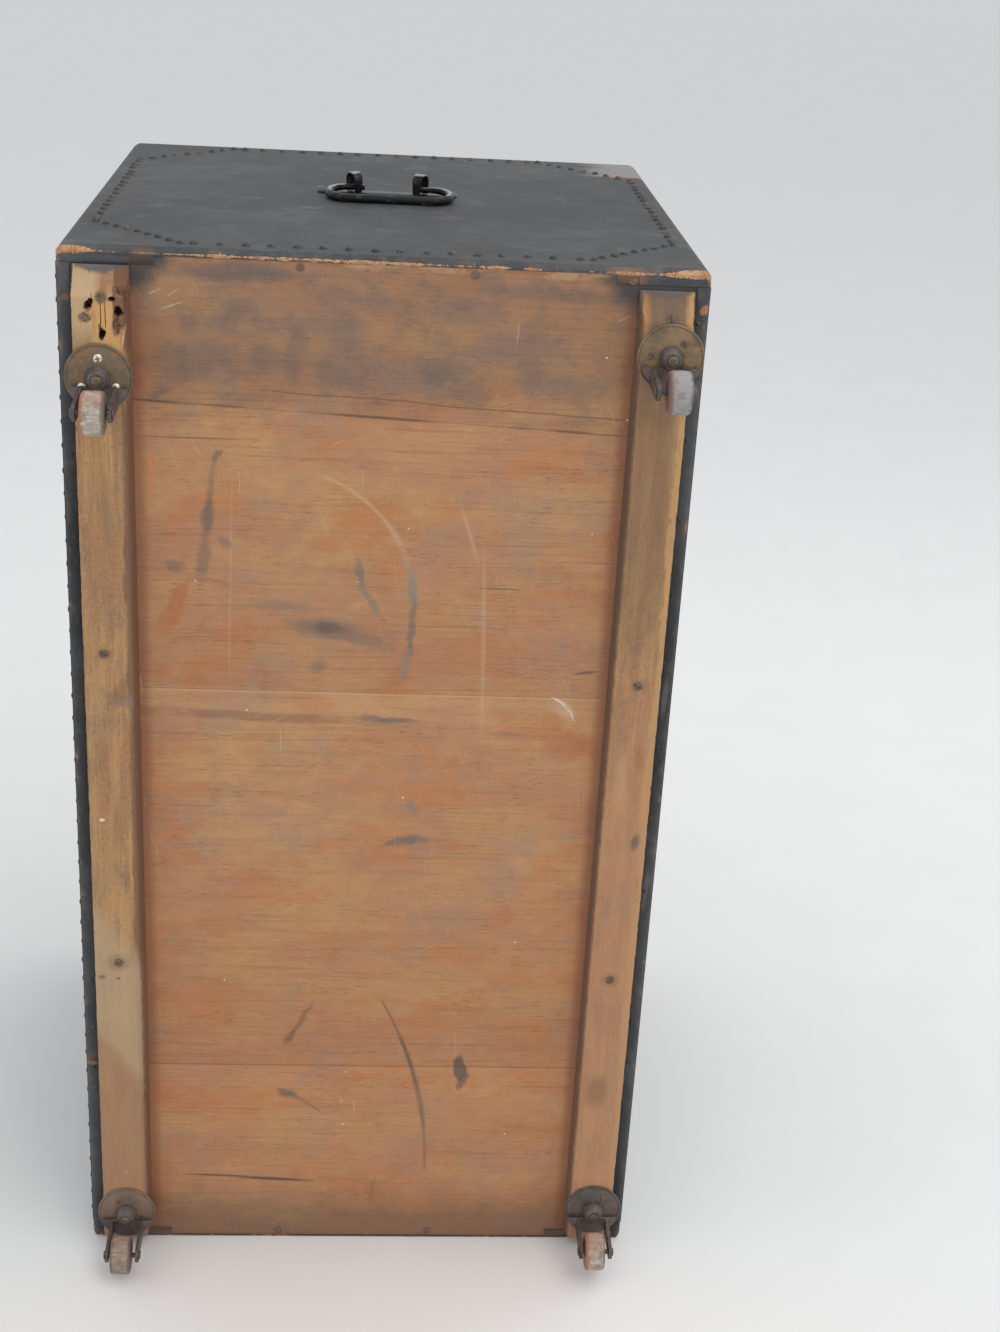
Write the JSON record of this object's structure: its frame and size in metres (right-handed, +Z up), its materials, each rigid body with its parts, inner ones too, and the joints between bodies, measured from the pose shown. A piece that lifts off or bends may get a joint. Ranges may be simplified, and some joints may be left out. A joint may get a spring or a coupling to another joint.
{
  "type": "storage trunk",
  "caption": "Trunk standing on its end: bottom boards with battens and swivel casters, a cloth-covered case, a hinged lid with hasp and hook catches, and a bail handle.",
  "frame": {"origin": "centre of the lower end face, which stands on the floor", "axes": "+X from the hinge side to the lock side, +Y from the caster side (bottom boards) to the lid, +Z up along the long side"},
  "size_m": [0.5814, 0.6562, 1.0661],
  "materials": {
    "leathercloth": "painted cloth, satin, scuffed",
    "board_wood": "aged softwood, bare",
    "batten_wood": "aged hardwood, bare",
    "case_wood": "bare plywood-like boards",
    "black_iron": "black, worn",
    "rusty_iron": "rusted",
    "wheel_fibre": "hard fibre, worn",
    "worn_brass": "tarnished"
  },
  "bodies": {
    "case": {"lock_side_panel": "case_wood", "hinge_side_panel": "case_wood", "upper_end_panel": "case_wood", "lower_end_panel": "case_wood", "bottom_board_1": "board_wood", "bottom_board_2": "board_wood", "bottom_board_3": "board_wood", "bottom_board_4": "board_wood", "lock_side_batten": "batten_wood", "hinge_side_batten": "batten_wood", "upper_end_cloth": "leathercloth", "lower_end_cloth": "leathercloth", "lock_side_cloth": "leathercloth", "hinge_side_cloth": "leathercloth", "lower_hinge_case_leaf": "black_iron", "upper_hinge_case_leaf": "black_iron", "lower_hinge_pin": "black_iron", "upper_hinge_pin": "black_iron", "lock_plate": "worn_brass", "lower_hook_pivot": "black_iron", "upper_hook_pivot": "black_iron", "handle_plate": "black_iron", "hinge_side_handle_loop": "black_iron", "lock_side_handle_loop": "black_iron", "upper_hinge_side_caster_plate": "rusty_iron", "upper_hinge_side_kingpin": "rusty_iron", "upper_lock_side_caster_plate": "rusty_iron", "upper_lock_side_kingpin": "rusty_iron", "lower_hinge_side_caster_plate": "rusty_iron", "lower_hinge_side_kingpin": "rusty_iron", "lower_lock_side_caster_plate": "rusty_iron", "lower_lock_side_kingpin": "rusty_iron"},
    "lid": {"lid_cloth": "leathercloth", "lid_board": "case_wood", "lid_frame": "case_wood", "lower_hinge_lid_leaf": "black_iron", "upper_hinge_lid_leaf": "black_iron", "hasp_base": "worn_brass", "hasp_pin": "worn_brass", "lower_hook_keeper": "black_iron", "upper_hook_keeper": "black_iron"},
    "hasp": {"hasp": "worn_brass"},
    "lower_hook": {"lower_hook": "black_iron"},
    "upper_hook": {"upper_hook": "black_iron"},
    "bail": {"bail": "black_iron"},
    "upper_hinge_side_fork_body": {"upper_hinge_side_fork": "rusty_iron", "upper_hinge_side_axle": "rusty_iron"},
    "upper_hinge_side_wheel_body": {"upper_hinge_side_wheel": "wheel_fibre"},
    "upper_lock_side_fork_body": {"upper_lock_side_fork": "rusty_iron", "upper_lock_side_axle": "rusty_iron"},
    "upper_lock_side_wheel_body": {"upper_lock_side_wheel": "wheel_fibre"},
    "lower_hinge_side_fork_body": {"lower_hinge_side_fork": "rusty_iron", "lower_hinge_side_axle": "rusty_iron"},
    "lower_hinge_side_wheel_body": {"lower_hinge_side_wheel": "wheel_fibre"},
    "lower_lock_side_fork_body": {"lower_lock_side_fork": "rusty_iron", "lower_lock_side_axle": "rusty_iron"},
    "lower_lock_side_wheel_body": {"lower_lock_side_wheel": "wheel_fibre"}
  },
  "joints": [
    {"name": "lid_hinge", "type": "hinge", "parent": "case", "child": "lid", "pos_m": [-0.2843, 0.2774, 0], "axis": [0, 0, 1], "range_deg": [0, 105]},
    {"name": "hasp_hinge", "type": "hinge", "parent": "lid", "child": "hasp", "pos_m": [0.2833, 0.2848, 0.522], "axis": [0, 0, 1], "range_deg": [0, 150]},
    {"name": "lower_hook_turn", "type": "hinge", "parent": "case", "child": "lower_hook", "pos_m": [0.28, 0.247, 0.25056], "axis": [1, 0, 0], "range_deg": [-90, 90]},
    {"name": "upper_hook_turn", "type": "hinge", "parent": "case", "child": "upper_hook", "pos_m": [0.28, 0.247, 0.79344], "axis": [1, 0, 0], "range_deg": [-90, 90]},
    {"name": "bail_hinge", "type": "hinge", "parent": "case", "child": "bail", "pos_m": [0, 0.024, 1.0509], "axis": [-1, 0, 0], "range_deg": [0, 185]},
    {"name": "upper_hinge_side_swivel", "type": "hinge", "parent": "case", "child": "upper_hinge_side_fork_body", "pos_m": [-0.244, -0.294, 0.936], "axis": [0, -1, 0], "continuous": true},
    {"name": "upper_hinge_side_roll", "type": "hinge", "parent": "upper_hinge_side_fork_body", "child": "upper_hinge_side_wheel_body", "pos_m": [-0.244, -0.3394, 0.9169], "axis": [1, 0, 0], "continuous": true},
    {"name": "upper_lock_side_swivel", "type": "hinge", "parent": "case", "child": "upper_lock_side_fork_body", "pos_m": [0.247, -0.294, 0.972], "axis": [0, -1, 0], "continuous": true},
    {"name": "upper_lock_side_roll", "type": "hinge", "parent": "upper_lock_side_fork_body", "child": "upper_lock_side_wheel_body", "pos_m": [0.247, -0.3394, 0.9529], "axis": [1, 0, 0], "continuous": true},
    {"name": "lower_hinge_side_swivel", "type": "hinge", "parent": "case", "child": "lower_hinge_side_fork_body", "pos_m": [-0.2415, -0.294, 0.047], "axis": [0, -1, 0], "continuous": true},
    {"name": "lower_hinge_side_roll", "type": "hinge", "parent": "lower_hinge_side_fork_body", "child": "lower_hinge_side_wheel_body", "pos_m": [-0.2415, -0.3394, 0.0279], "axis": [1, 0, 0], "continuous": true},
    {"name": "lower_lock_side_swivel", "type": "hinge", "parent": "case", "child": "lower_lock_side_fork_body", "pos_m": [0.245, -0.294, 0.054], "axis": [0, -1, 0], "continuous": true},
    {"name": "lower_lock_side_roll", "type": "hinge", "parent": "lower_lock_side_fork_body", "child": "lower_lock_side_wheel_body", "pos_m": [0.245, -0.3394, 0.0349], "axis": [1, 0, 0], "continuous": true}
  ]
}
